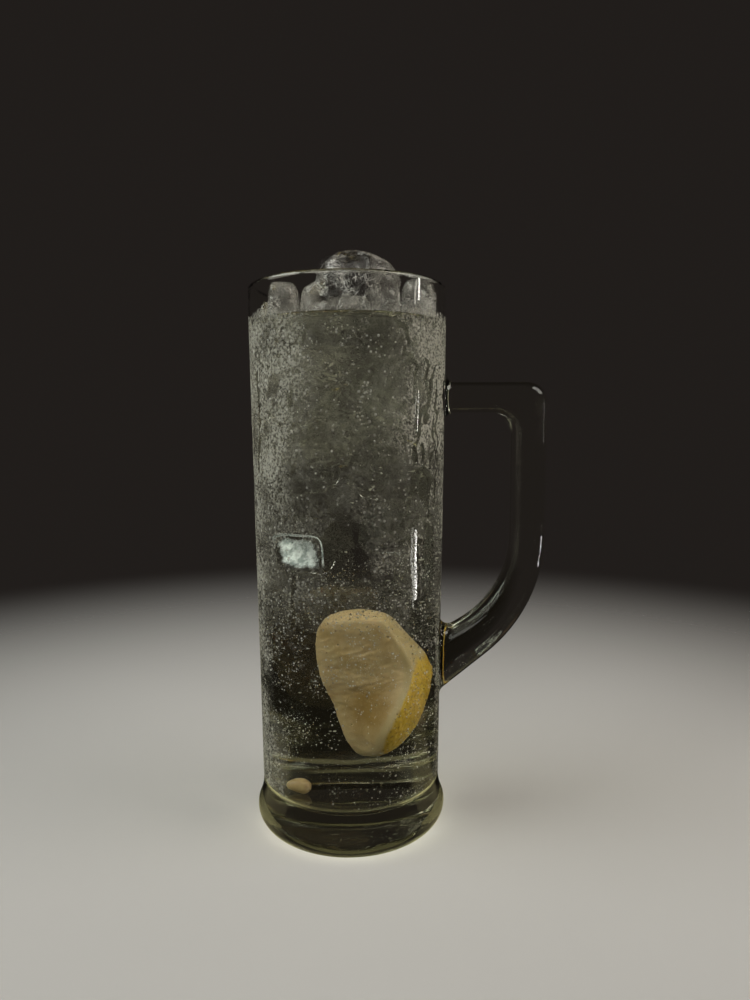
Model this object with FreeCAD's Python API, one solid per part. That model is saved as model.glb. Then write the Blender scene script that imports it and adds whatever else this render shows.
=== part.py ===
"""Handled glass of iced sparkling drink: a tall pressed-glass mug, clear drink, ice and a lemon wedge.

Millimetres. Z is up and is the mug's axis, the foot stands on Z = 0, and the handle points along +X.
"""
import FreeCAD
import Part
import math
import os

from FreeCAD import Vector

# Distance below which two coordinates count as the same, and by which a point may miss the wall's surface
same_distance = 1e-6
on_wall_distance = 0.02

# Mug body
mug_height = 209.0
rim_radius = 37.5
waist_radius = 35.1
waist_height = 18.5
wall = 2.9

# Foot: a rounded flange under the waist, standing on a flat ring round a shallow recess
foot_radius = 37.5
foot_widest_height = 7.2
foot_shoulder_radius = 5.0
recess_radius = 24.0
recess_depth = 1.4

# Inside of the mug
floor_height = 13.8
floor_corner_radius = 9.0

# Handle: a D of rounded rectangular section
handle_reach = 76.7
handle_top = 173.6
handle_arm_depth = 11.6
handle_grip_depth = 12.4
handle_width = 16.0
handle_edge_radius = 5.0
handle_outer_corner = 8.0
handle_inner_corner = 8.0
handle_outer_bend = 60.0
handle_inner_bend = 40.0
handle_bend_start = 114.0
handle_outer_turn = 51.7
handle_inner_turn = 60.2
handle_root_radius = 4.0

# Drink
drink_headspace = 15.0

# Ice that stands out of the drink: one large lump in the middle, and three that fill in round it
ice_gap = 0.6
ice_wall_gap = 1.2
ice_edge_radius = 3.2
top_ice_width = 37.4
top_ice_depth = 34.0
top_ice_height = 37.0
top_ice_dome = 23.4
top_ice_x = 0.9
top_ice_y = -1.0
top_ice_above_rim = 13.6
top_ice_tilt = 4.0
small_ice_height = 24.0
small_ice_melt = 0.38
left_ice_length = 23.0
left_ice_above_rim = 0.6
left_ice_tilt = 8.0
right_ice_length = 20.0
right_ice_above_rim = 2.0
right_ice_tilt = -6.0
back_ice_length = 27.0
back_ice_above_rim = -1.0
back_ice_tilt = 5.0

# Lemon wedge: cut along the fruit's core, then across above its middle
lemon_radius = 29.0
lemon_half_length = 37.0
lemon_wedge_angle = 80.0
lemon_cut_above_middle = 19.5
lemon_cut_radius = 14.0
lemon_edge_radius = 1.2
lemon_turn = 30.0
lemon_lean = 17.0
lemon_core_x = -4.9
lemon_core_y = -1.5
lemon_middle_height = 64.4


def outer_radius(height):
    """Outer radius of the straight, slightly flared wall at a height."""
    flare = (rim_radius - waist_radius) / (mug_height - waist_height)
    return waist_radius + flare * (height - waist_height)


def inner_radius(height):
    """Inner radius of the wall at a height."""
    return outer_radius(height) - wall


def point(radius, height):
    """Point of a profile in the XZ plane."""
    return Vector(radius, 0, height)


def line(a, b):
    return Part.LineSegment(a, b).toShape()


def arc(a, middle, b):
    return Part.Arc(a, middle, b).toShape()


def arc_round(centre, radius, start_angle, end_angle):
    """Arc in the XZ plane round a centre, with its angles in degrees from +X towards +Z."""
    angles = [math.radians(start_angle + (end_angle - start_angle) * t) for t in (0, 0.5, 1)]
    spots = [centre + Vector(radius * math.cos(a), 0, radius * math.sin(a)) for a in angles]
    return arc(*spots)


def turned(edges, angle=360.0):
    """Solid swept by a closed profile in the XZ plane as it turns about the Z axis."""
    face = Part.Face(Part.Wire(Part.__sortEdges__(edges)))
    return face.revolve(Vector(0, 0, 0), Vector(0, 0, 1), angle)


def foot_edges():
    """Underside and flange of the mug, from the axis out and up to the waist."""
    foot_edge_radius = foot_widest_height
    ring_radius = foot_radius - foot_edge_radius
    dome_radius = (recess_radius ** 2 + recess_depth ** 2) / (2 * recess_depth)
    dome_angle = math.degrees(math.asin(recess_radius / dome_radius))
    dome_centre = point(0, recess_depth - dome_radius)
    recess = arc_round(dome_centre, dome_radius, 90, 90 - dome_angle)
    ring = line(point(recess_radius, 0), point(ring_radius, 0))
    under = arc_round(point(ring_radius, foot_widest_height), foot_edge_radius, -90, 0)
    # the shoulder's circle and the hollow above it touch, and the hollow ends upright at the waist
    rise = waist_height - foot_widest_height
    step = foot_radius - waist_radius
    hollow_radius = (rise ** 2 + step ** 2) / (2 * step) - foot_shoulder_radius
    shoulder_centre = point(foot_radius - foot_shoulder_radius, foot_widest_height)
    hollow_centre = point(waist_radius + hollow_radius, waist_height)
    slope = math.degrees(math.atan2(rise, hollow_centre.x - shoulder_centre.x))
    shoulder = arc_round(shoulder_centre, foot_shoulder_radius, 0, slope)
    hollow = arc_round(hollow_centre, hollow_radius, 180 + slope, 180)
    return [recess, ring, under, shoulder, hollow]


def cavity_edges(top):
    """Inside of the mug from the axis out along its floor and up the wall to a height."""
    corner_height = floor_height + floor_corner_radius
    corner_centre = point(inner_radius(corner_height) - floor_corner_radius, corner_height)
    floor = line(point(0, floor_height), point(corner_centre.x, floor_height))
    corner = arc_round(corner_centre, floor_corner_radius, -90, 0)
    side = line(point(inner_radius(corner_height), corner_height), point(inner_radius(top), top))
    return [floor, corner, side]


def make_body():
    """The mug without its handle, with a full-round rim."""
    rim_height = mug_height - wall / 2
    rim_outer = point(outer_radius(rim_height), rim_height)
    rim_inner = point(inner_radius(rim_height), rim_height)
    rim_crest = point((rim_outer.x + rim_inner.x) / 2, mug_height)
    outside = line(point(waist_radius, waist_height), rim_outer)
    rim = arc(rim_outer, rim_crest, rim_inner)
    axis = line(point(0, recess_depth), point(0, floor_height))
    return turned(foot_edges() + [outside, rim] + cavity_edges(rim_height) + [axis])


def bend_end(start, radius, turn):
    """Where an arc that leaves a point straight down ends, once it has turned towards the mug."""
    angle = math.radians(turn)
    return start + Vector(-radius * (1 - math.cos(angle)), 0, -radius * math.sin(angle))


def to_axis(start, turn):
    """Edge from the end of a bend, straight on along its direction, to the mug's axis."""
    fall = start.x / math.tan(math.radians(turn))
    return line(start, point(0, start.z - fall)), point(0, start.z - fall)


def handle_outline():
    """Edges of the handle seen from the side, with both arms carried on to the mug's axis."""
    inner_reach = handle_reach - handle_grip_depth
    arm_under = handle_top - handle_arm_depth
    outer_corner = point(handle_reach - handle_outer_corner, handle_top - handle_outer_corner)
    inner_corner = point(inner_reach - handle_inner_corner, arm_under - handle_inner_corner)
    outer_start = point(handle_reach, handle_bend_start)
    inner_start = point(inner_reach, handle_bend_start)
    outer_end = bend_end(outer_start, handle_outer_bend, handle_outer_turn)
    inner_end = bend_end(inner_start, handle_inner_bend, handle_inner_turn)
    outer_tail, outer_foot = to_axis(outer_end, handle_outer_turn)
    inner_tail, inner_foot = to_axis(inner_end, handle_inner_turn)
    return [
        line(point(0, handle_top), point(outer_corner.x, handle_top)),
        arc_round(outer_corner, handle_outer_corner, 90, 0),
        line(point(handle_reach, outer_corner.z), outer_start),
        arc_round(outer_start - Vector(handle_outer_bend, 0, 0), handle_outer_bend, 0, -handle_outer_turn),
        outer_tail,
        line(outer_foot, inner_foot),
        inner_tail,
        arc_round(inner_start - Vector(handle_inner_bend, 0, 0), handle_inner_bend, -handle_inner_turn, 0),
        line(inner_start, point(inner_reach, inner_corner.z)),
        arc_round(inner_corner, handle_inner_corner, 0, 90),
        line(point(inner_corner.x, arm_under), point(0, arm_under)),
        line(point(0, arm_under), point(0, handle_top)),
    ]


def make_handle():
    """The D handle with rounded edges, ending inside the mug's wall."""
    face = Part.Face(Part.Wire(Part.__sortEdges__(handle_outline())))
    face.translate(Vector(0, -handle_width / 2, 0))
    slab = face.extrude(Vector(0, handle_width, 0))
    sides = (-handle_width / 2, handle_width / 2)
    long_edges = [
        edge
        for edge in slab.Edges
        if any(abs(edge.BoundBox.YMin - y) + abs(edge.BoundBox.YMax - y) < same_distance for y in sides)
        and edge.BoundBox.XMax > same_distance
    ]
    rounded = slab.makeFillet(handle_edge_radius, long_edges)
    middle_of_wall = turned(
        [
            line(point(0, 0), point(outer_radius(0) - wall / 2, 0)),
            line(point(outer_radius(0) - wall / 2, 0), point(rim_radius - wall / 2, mug_height)),
            line(point(rim_radius - wall / 2, mug_height), point(0, mug_height)),
            line(point(0, mug_height), point(0, 0)),
        ]
    )
    return rounded.cut(middle_of_wall)


def is_root_edge(edge):
    """True for the edges where the handle meets the outside of the wall."""
    if edge.Degenerated:
        return False
    first, last = edge.ParameterRange
    spots = [edge.valueAt(first + share * (last - first)) for share in (0, 0.3, 0.6, 1)]
    on_wall = all(abs(math.hypot(p.x, p.y) - outer_radius(p.z)) < on_wall_distance for p in spots)
    near_handle = all(abs(p.y) < handle_width and p.x > 0 for p in spots)
    between_ends = all(waist_height < p.z < mug_height - wall for p in spots)
    return on_wall and near_handle and between_ends


def make_mug():
    """Mug and handle as one piece of glass, with fillets where the handle grows out of the wall."""
    joined = make_body().fuse(make_handle())
    roots = [edge for edge in joined.Edges if is_root_edge(edge)]
    return joined.makeFillet(handle_root_radius, roots)


def domed_lump():
    """Large half-melted lump, its dome's top at the origin: a ball cut flat at its sides and below."""
    bottom = top_ice_dome - top_ice_height
    above_top = 2 * top_ice_dome
    corner = Vector(-top_ice_width / 2, -top_ice_depth / 2, bottom)
    block = Part.makeBox(top_ice_width, top_ice_depth, above_top - bottom, corner)
    lump = Part.makeSphere(top_ice_dome).common(block)
    lump = lump.makeFillet(ice_edge_radius, lump.Edges)
    lump.rotate(Vector(0, 0, 0), Vector(0, 1, 0), top_ice_tilt)
    lump.translate(Vector(0, 0, -top_ice_dome))
    return lump


def block_lump(width, depth, tilt_axis, tilt):
    """Small half-melted lump, its top at the origin: a block with its edges and corners melted round."""
    corner = Vector(-width / 2, -depth / 2, -small_ice_height / 2)
    block = Part.makeBox(width, depth, small_ice_height, corner)
    lump = block.makeFillet(small_ice_melt * min(width, depth), block.Edges)
    lump.rotate(Vector(0, 0, 0), tilt_axis, tilt)
    lump.translate(Vector(0, 0, -small_ice_height / 2))
    return lump


def small_ice(near, along_x, length, above_rim, tilt):
    """Lump that fills the space from the large one's side, at a signed distance, out to the wall."""
    free_radius = inner_radius(mug_height - drink_headspace) - ice_wall_gap
    reach = math.sqrt(free_radius ** 2 - (length / 2) ** 2)
    thickness = reach - abs(near) - ice_gap
    outwards = Vector(1, 0, 0) if along_x else Vector(0, 1, 0)
    width, depth = (thickness, length) if along_x else (length, thickness)
    lump = block_lump(width, depth, outwards, tilt)
    middle = math.copysign(reach - thickness / 2, near)
    lump.translate(outwards * middle + Vector(0, 0, mug_height + above_rim))
    return lump


def make_ice():
    """The large lump, and the three that lie between it and the wall."""
    top = domed_lump()
    top.translate(Vector(top_ice_x, top_ice_y, mug_height + top_ice_above_rim))
    box = top.optimalBoundingBox()
    return {
        "ice_top": top,
        "ice_left": small_ice(box.XMin, True, left_ice_length, left_ice_above_rim, left_ice_tilt),
        "ice_right": small_ice(box.XMax, True, right_ice_length, right_ice_above_rim, right_ice_tilt),
        "ice_back": small_ice(box.YMax, False, back_ice_length, back_ice_above_rim, back_ice_tilt),
    }


def make_lemon():
    """Wedge turned about the fruit's core, with its pointed end down and its rind towards the handle."""
    tip = point(0, -lemon_half_length)
    middle = point(lemon_radius, 0)
    cut_edge = point(lemon_cut_radius, lemon_cut_above_middle)
    cut_core = point(0, lemon_cut_above_middle)
    rind = Part.Ellipse(tip, middle, Vector(0, 0, 0)).toShape(0, math.pi / 2)
    cuts = [line(middle, cut_edge), line(cut_edge, cut_core), line(cut_core, tip)]
    wedge = turned([rind] + cuts, lemon_wedge_angle)
    core = [
        edge
        for edge in wedge.Edges
        if edge.BoundBox.XMax < same_distance and edge.Length > lemon_half_length
    ]
    wedge = wedge.makeFillet(lemon_edge_radius, core)
    wedge.rotate(Vector(0, 0, 0), Vector(0, 0, 1), -lemon_turn)
    wedge.rotate(Vector(0, 0, 0), Vector(0, 1, 0), -lemon_lean)
    wedge.translate(Vector(lemon_core_x, lemon_core_y, lemon_middle_height))
    return wedge


def make_drink(sunk):
    """Drink up to its level, cut round what is in it."""
    level = mug_height - drink_headspace
    axis = line(point(0, floor_height), point(0, level))
    surface = line(point(0, level), point(inner_radius(level), level))
    return turned(cavity_edges(level) + [surface, axis]).cut(sunk)


parts = {"mug": make_mug(), "lemon_wedge": make_lemon()}
parts.update(make_ice())
parts["drink"] = make_drink([shape for name, shape in parts.items() if name != "mug"])

os.makedirs("parts", exist_ok=True)
for name, shape in parts.items():
    shape.exportStep("parts/" + name + ".step")
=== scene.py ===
"""Looks of a handled glass of iced sparkling drink with a lemon wedge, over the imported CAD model.

Lengths in this script are in millimetres and become metres when a mesh is made. Z is up and is the
mug's axis, the handle points along +X, and the camera looks along +Y.
"""
import math

import bpy
import numpy as np
from mathutils import Matrix


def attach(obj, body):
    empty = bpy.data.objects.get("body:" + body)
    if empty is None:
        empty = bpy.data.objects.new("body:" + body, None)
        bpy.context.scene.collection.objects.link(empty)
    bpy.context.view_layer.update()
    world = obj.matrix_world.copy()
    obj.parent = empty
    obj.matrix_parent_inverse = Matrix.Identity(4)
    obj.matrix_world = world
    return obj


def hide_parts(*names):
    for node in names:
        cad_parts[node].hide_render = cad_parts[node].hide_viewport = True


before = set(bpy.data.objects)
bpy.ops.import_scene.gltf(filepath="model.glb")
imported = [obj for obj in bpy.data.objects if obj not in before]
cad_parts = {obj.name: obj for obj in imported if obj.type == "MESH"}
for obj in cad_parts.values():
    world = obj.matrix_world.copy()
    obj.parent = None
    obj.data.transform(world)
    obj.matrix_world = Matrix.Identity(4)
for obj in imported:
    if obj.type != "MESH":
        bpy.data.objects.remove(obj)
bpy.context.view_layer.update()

MM = 0.001

# Sizes of the mug, as its CAD node has them
RIM_HEIGHT = 209.0
WAIST_HEIGHT = 18.5
WAIST_RADIUS = 35.1
RIM_RADIUS = 37.5
WALL = 2.9
INNER_FLOOR_HEIGHT = 13.8
INNER_CORNER_RADIUS = 9.0
DRINK_LEVEL = 194.0
WALL_OVERLAP = 0.15


def outer_radius(height):
    """Outer radius of the wall: straight line from the waist to the rim."""
    return WAIST_RADIUS + (height - WAIST_HEIGHT) * (RIM_RADIUS - WAIST_RADIUS) / (RIM_HEIGHT - WAIST_HEIGHT)


def inner_radius(height):
    """Inner radius of the wall: the outer one less the wall's thickness."""
    return outer_radius(height) - WALL


# ---------------------------------------------------------------- meshes

def waves(points, length, seed, count=28):
    """Smooth noise of about -1 to 1: sine waves of random direction and phase near one length, added up."""
    random = np.random.default_rng(seed)
    direction = random.normal(size=(count, points.shape[-1]))
    direction /= np.linalg.norm(direction, axis=1)[:, None]
    direction *= 2 * np.pi / (length * random.uniform(0.6, 1.6, (count, 1)))
    phase = random.uniform(0, 2 * np.pi, count)
    return np.sin(points @ direction.T + phase).sum(-1) / math.sqrt(count)


def smooth_step(low, high, value):
    """0 below low, 1 above high, and 3t^2 - 2t^3 between."""
    share = np.clip((value - low) / (high - low), 0, 1)
    return share * share * (3 - 2 * share)


def shell_faces(rings, segments):
    """Faces of a closed shell: a point, rings one above the other, and a point, wound to face outwards."""
    ring, turn = np.meshgrid(np.arange(rings - 1), np.arange(segments), indexing="ij")
    after = (turn + 1) % segments
    quads = np.stack([
        1 + ring * segments + turn,
        1 + ring * segments + after,
        1 + (ring + 1) * segments + after,
        1 + (ring + 1) * segments + turn,
    ], -1).reshape(-1, 4)
    turn = np.arange(segments)
    after = (turn + 1) % segments
    top = 1 + rings * segments
    below = np.stack([np.zeros_like(turn), 1 + after, 1 + turn], -1)
    above = np.stack([1 + (rings - 1) * segments + turn, 1 + (rings - 1) * segments + after,
                      np.full_like(turn, top)], -1)
    return quads, np.concatenate([below, above])


NO_TRIANGLES = np.zeros((0, 3), int)


def new_piece(name, points, quads, triangles, material, slot, attributes=None):
    """Object of a mesh in millimetres, riding on the body, with its material. The slot is not used."""
    mesh = bpy.data.meshes.new(name)
    faces = quads.tolist() + triangles.tolist()
    mesh.from_pydata((points * MM).tolist(), [], faces)
    mesh.polygons.foreach_set("use_smooth", np.full(len(mesh.polygons), True))
    for key, values in (attributes or {}).items():
        numbers = mesh.attributes.new(key, "FLOAT", "POINT").data
        numbers.foreach_set("value", values.astype(np.float32).ravel())
    mesh.materials.append(material)
    piece = bpy.data.objects.new(name, mesh)
    bpy.context.scene.collection.objects.link(piece)
    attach(piece, "root")
    return piece


def turned_about_y(points, degrees):
    """Points turned about the Y axis: X and Z mixed by the cosine and sine of the angle."""
    angle = math.radians(degrees)
    return np.stack([
        points[:, 0] * math.cos(angle) + points[:, 2] * math.sin(angle),
        points[:, 1],
        -points[:, 0] * math.sin(angle) + points[:, 2] * math.cos(angle),
    ], -1)


def lathe_points(profile, segments):
    """Profile of (radius, height) rows turned about Z; its first and last rows lie on the axis."""
    turn = np.arange(segments) * 2 * np.pi / segments
    ring = profile[1:-1]
    around = np.stack([
        ring[:, :1] * np.cos(turn),
        ring[:, :1] * np.sin(turn),
        np.repeat(ring[:, 1:], segments, 1),
    ], -1)
    ends = np.array([[0, 0, profile[0, 1]], [0, 0, profile[-1, 1]]])
    return np.concatenate([ends[:1], around.reshape(-1, 3), ends[1:]])


def ball_directions(rings, segments):
    """Unit directions over a ball: a pole, rings of even polar angle, and a pole."""
    polar = np.pi - np.pi * np.arange(1, rings + 1) / (rings + 1)
    turn = np.arange(segments) * 2 * np.pi / segments
    around = np.stack([
        np.sin(polar)[:, None] * np.cos(turn),
        np.sin(polar)[:, None] * np.sin(turn),
        np.repeat(np.cos(polar)[:, None], segments, 1),
    ], -1)
    return np.concatenate([[[0, 0, -1]], around.reshape(-1, 3), [[0, 0, 1]]])


def scattered(name, centres, sizes, axes, material, slot, rings=3, segments=8):
    """Many small balls as one mesh: each is a unit ball stretched by its sizes along its own three axes.

    A ball with one size is as large along each axis.
    """
    if sizes.ndim == 1:
        sizes = np.repeat(sizes[:, None], 3, 1)
    ball = ball_directions(rings, segments)
    points = np.einsum("bk,nk,nkd->nbd", ball, sizes, axes) + centres[:, None]
    quads, triangles = shell_faces(rings, segments)
    offset = (np.arange(len(centres)) * len(ball))[:, None, None]
    return new_piece(name, points.reshape(-1, 3), (quads + offset).reshape(-1, 4),
                     (triangles + offset).reshape(-1, 3), material, slot)


def upright_axes(turn):
    """Axes of a spot on the wall at an angle about Z: outwards, along the wall, and up."""
    zero = np.zeros_like(turn)
    outwards = np.stack([np.cos(turn), np.sin(turn), zero], -1)
    along = np.stack([-np.sin(turn), np.cos(turn), zero], -1)
    up = np.stack([zero, zero, zero + 1], -1)
    return np.stack([outwards, along, up], 1)


# ---------------------------------------------------------------- nodes

def node(tree, kind, settings=None, inputs=None):
    """New shader node; an input's value is a constant or the socket that feeds it."""
    made = tree.nodes.new("ShaderNode" + kind)
    for key, value in (settings or {}).items():
        setattr(made, key, value)
    for key, value in (inputs or {}).items():
        if isinstance(value, bpy.types.NodeSocket):
            tree.links.new(value, made.inputs[key])
        else:
            made.inputs[key].default_value = value
    return made


def maths(tree, operation, *values):
    """Output of a Math node on the values."""
    return node(tree, "Math", {"operation": operation}, dict(enumerate(values))).outputs[0]


def between(tree, value, low, high, new_low=0.0, new_high=1.0):
    """Value mapped smoothly from low..high onto new_low..new_high."""
    return node(tree, "MapRange", {"interpolation_type": "SMOOTHSTEP"}, {
        "Value": value, "From Min": low, "From Max": high, "To Min": new_low, "To Max": new_high,
    }).outputs[0]


def rising(tree, value, start, full):
    """Mask that rises from 0 at start to 1 at full."""
    return between(tree, value, start, full)


def falling(tree, value, start, gone):
    """Mask that falls from 1 at start to 0 when gone."""
    return between(tree, value, start, gone, 1.0, 0.0)


def noise(tree, place, scale, detail=2.0, roughness=0.5, distortion=0.0):
    """Noise of about 0.3 to 0.7 over a place in metres, with scale features to the metre."""
    return node(tree, "TexNoise", None, {
        "Vector": place, "Scale": scale, "Detail": detail, "Roughness": roughness, "Distortion": distortion,
    }).outputs["Fac"]


def product(tree, *masks):
    """Masks multiplied together."""
    result = masks[0]
    for mask in masks[1:]:
        result = maths(tree, "MULTIPLY", result, mask)
    return result


def shift(tree, noisy, reach):
    """Noise about 0.5 made a shift to either side of nought."""
    return product(tree, maths(tree, "SUBTRACT", noisy, 0.5), reach)


def attribute(tree, name):
    """Number that the mesh carries at each point."""
    return node(tree, "Attribute", {"attribute_name": name}).outputs["Fac"]


def distance_from(tree, place, spot):
    """Distance in metres from a fixed spot."""
    return node(tree, "VectorMath", {"operation": "DISTANCE"}, {0: place, 1: spot}).outputs["Value"]


def mixed(tree, factor, low, high):
    """Colour between two colours."""
    return node(tree, "Mix", {"data_type": "RGBA"}, {0: factor, 6: low, 7: high}).outputs[2]


def new_material(name):
    """Empty material with its tree, output and Object coordinates."""
    material = bpy.data.materials.new(name)
    material.use_nodes = True
    tree = material.node_tree
    tree.nodes.clear()
    output = node(tree, "OutputMaterial")
    place = node(tree, "TexCoord").outputs["Object"]
    return material, tree, output, place


def bump(tree, height, strength, distance):
    """Normal bent by a height map."""
    return node(tree, "Bump", None, {"Height": height, "Strength": strength, "Distance": distance}).outputs[0]


def coat(tree, output, inputs):
    """Principled surface with these inputs, joined to its material's output."""
    surface = node(tree, "BsdfPrincipled", None, inputs)
    tree.links.new(surface.outputs[0], output.inputs["Surface"])


def new_group(name, numbers, result, result_kind="NodeSocketFloat"):
    """Node group fed by a place and by named numbers: gives the group, its inputs and its result socket."""
    group = bpy.data.node_groups.new(name, "ShaderNodeTree")
    group.interface.new_socket("Place", in_out="INPUT", socket_type="NodeSocketVector")
    for label in numbers:
        group.interface.new_socket(label, in_out="INPUT", socket_type="NodeSocketFloat")
    group.interface.new_socket(result, in_out="OUTPUT", socket_type=result_kind)
    return group, group.nodes.new("NodeGroupInput").outputs, group.nodes.new("NodeGroupOutput").inputs[0]


def use_group(tree, group, place, numbers):
    """Result of a node group that is put into a material with its own numbers."""
    return node(tree, "Group", {"node_tree": group}, {"Place": place, **numbers}).outputs[0]


def clear_material(name, ior, tint, roughness=0.0, shadow=0.92, absorb=None, density=0.0):
    """Clear solid: refracting, but lets lamps through so that what is inside is lit."""
    material, tree, output, place = new_material(name)
    solid = node(tree, "BsdfPrincipled", None, {
        "Base Color": (*tint, 1), "Roughness": roughness, "IOR": ior, "Transmission Weight": 1.0,
    })
    through = node(tree, "BsdfTransparent", None, {"Color": (shadow, shadow, shadow, 1)})
    shadow_ray = node(tree, "LightPath").outputs["Is Shadow Ray"]
    mix = node(tree, "MixShader", None, {0: shadow_ray, 1: solid.outputs[0], 2: through.outputs[0]})
    tree.links.new(mix.outputs[0], output.inputs["Surface"])
    if absorb:
        inside = node(tree, "VolumeAbsorption", None, {"Color": (*absorb, 1), "Density": density})
        tree.links.new(inside.outputs[0], output.inputs["Volume"])
    return material, tree, solid, place


# ---------------------------------------------------------------- camera, floor and lights

CAMERA_PLACE = (0.0, -0.28119, 0.15687)
CAMERA_LENS = 25.92
CAMERA_PAN = -0.0361
CAMERA_ROLL = -0.0046
LOOKING_DOWN = 5.84

scene = bpy.context.scene
camera_data = bpy.data.cameras.new("camera")
camera_data.lens = CAMERA_LENS
camera_data.sensor_width = 36.0
camera_data.clip_start = 0.01
camera = bpy.data.objects.new("camera", camera_data)
scene.collection.objects.link(camera)
camera.matrix_world = (
    Matrix.Translation(CAMERA_PLACE)
    @ Matrix.Rotation(CAMERA_PAN, 4, "Z")
    @ Matrix.Rotation(math.radians(90 - LOOKING_DOWN), 4, "X")
    @ Matrix.Rotation(CAMERA_ROLL, 4, "Z")
)
scene.camera = camera

scene.view_settings.view_transform = "Standard"
scene.view_settings.exposure = 0.0
scene.cycles.max_bounces = 40
scene.cycles.transmission_bounces = 32
scene.cycles.transparent_max_bounces = 32
scene.cycles.glossy_bounces = 8
scene.cycles.diffuse_bounces = 3
scene.cycles.caustics_reflective = False
scene.cycles.caustics_refractive = True
scene.cycles.sample_clamp_indirect = 4.0

world = bpy.data.worlds.new("studio")
world.use_nodes = True
world.node_tree.nodes["Background"].inputs["Color"].default_value = (0.0150, 0.0125, 0.0110, 1)
world.node_tree.nodes["Background"].inputs["Strength"].default_value = 1.0
scene.world = world

# Floor colours: pale where the camera meets it. Rays that come through the glass meet a dark floor with
# painted olive light patches, which the glass bends into painted highlights along its foot, and a painted
# warm patch that the handle's lower bend shows as a painted warm highlight
PALE = (0.66, 0.64, 0.61, 1)
DARK = (0.012, 0.010, 0.007, 1)
OLIVE = (0.52, 0.47, 0.27, 1)
OLIVE_UNDER_SIDES = (0.52, 0.48, 0.27, 1)
DIM_OLIVE = (0.30, 0.28, 0.15, 1)
DIM_BEHIND = (0.13, 0.12, 0.07, 1)
WARM = (0.50, 0.33, 0.18, 1)
STUDIO_FLOOR_RADIUS = 3.0
STUDIO_FLOOR_CORNERS = 96


def painted_light_through_glass(tree, place, distance):
    """Dark floor with painted light patches in metres about the foot, which the glass bends into painted
    highlights along its edges, and a painted warm patch beside the handle.
    """
    across, along = node(tree, "SeparateXYZ", None, {0: place}).outputs[:2]
    to_side = maths(tree, "ABSOLUTE", across)
    under_foot = falling(tree, distance, 0.036, 0.040)
    # Painted light patches to the sides, in front and under the foot, which the glass bends into painted
    # highlights along its foot
    sides = product(tree, rising(tree, to_side, 0.025, 0.040), falling(tree, distance, 0.07, 0.14),
                    falling(tree, along, 0.010, 0.020), rising(tree, along, -0.032, -0.024))
    front_ring = product(tree, rising(tree, distance, 0.027, 0.031), under_foot,
                         falling(tree, along, -0.024, -0.014))
    under_sides = product(tree, rising(tree, to_side, 0.016, 0.026), under_foot)
    oval_x = maths(tree, "DIVIDE", maths(tree, "SUBTRACT", across, 0.004), 0.024)
    oval_y = maths(tree, "DIVIDE", maths(tree, "SUBTRACT", along, 0.0475), 0.0055)
    oval = maths(tree, "ADD", maths(tree, "POWER", oval_x, 2.0), maths(tree, "POWER", oval_y, 2.0))
    # Warm patch beside the handle: painted light, seen as a painted warm highlight on the handle's lower bend
    by_painted_warm_patch = distance_from(tree, place, (0.150, -0.005, 0.0))
    colour = mixed(tree, sides, DARK, OLIVE)
    colour = mixed(tree, front_ring, colour, DIM_OLIVE)
    colour = mixed(tree, under_sides, colour, OLIVE_UNDER_SIDES)
    colour = mixed(tree, falling(tree, oval, 0.3, 1.3), colour, DIM_BEHIND)
    return mixed(tree, falling(tree, by_painted_warm_patch, 0.014, 0.036), colour, WARM)


def make_floor():
    """Pale disc that fades into the studio's dark away from the glass; rays through the glass see the painted
    light patches instead.
    """
    material, tree, output, place = new_material("floor")
    distance = node(tree, "VectorMath", {"operation": "LENGTH"}, {0: place}).outputs["Value"]
    seen = node(tree, "LightPath").outputs["Is Camera Ray"]
    colour = mixed(tree, seen, painted_light_through_glass(tree, place, distance), PALE)
    matt = node(tree, "BsdfDiffuse", None, {"Color": colour})
    clear = node(tree, "BsdfTransparent")
    fade = rising(tree, distance, 0.12, 0.55)
    mix = node(tree, "MixShader", None, {0: fade, 1: matt.outputs[0], 2: clear.outputs[0]})
    tree.links.new(mix.outputs[0], output.inputs["Surface"])
    turn = np.arange(STUDIO_FLOOR_CORNERS) * 2 * np.pi / STUDIO_FLOOR_CORNERS
    corners = np.stack([STUDIO_FLOOR_RADIUS * np.cos(turn), STUDIO_FLOOR_RADIUS * np.sin(turn), 0 * turn], -1)
    mesh = bpy.data.meshes.new("floor")
    mesh.from_pydata(corners.tolist(), [], [list(range(STUDIO_FLOOR_CORNERS))])
    mesh.materials.append(material)
    floor = bpy.data.objects.new("floor", mesh)
    scene.collection.objects.link(floor)


make_floor()


def soft_light(name, place, target, width, height, power, colour):
    """Rectangular area light at a place in metres, facing a target."""
    data = bpy.data.lights.new(name, "AREA")
    data.shape = "RECTANGLE"
    data.size = width
    data.size_y = height
    data.energy = power
    data.color = colour
    light = bpy.data.objects.new(name, data)
    scene.collection.objects.link(light)
    back = np.array(place, float) - np.array(target, float)
    back /= np.linalg.norm(back)
    side = np.cross((0, 0, 1), back)
    side /= np.linalg.norm(side)
    up = np.cross(back, side)
    light.matrix_world = Matrix(np.block([
        [np.stack([side, up, back], 1), np.array(place, float)[:, None]],
        [np.zeros((1, 3)), np.ones((1, 1))],
    ]).tolist())
    return light


COOL_LIGHT = (0.96, 1.0, 0.98)
WARM_LIGHT = (1.0, 0.95, 0.88)
SOFT_LIGHT = (1.0, 0.97, 0.92)
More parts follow.
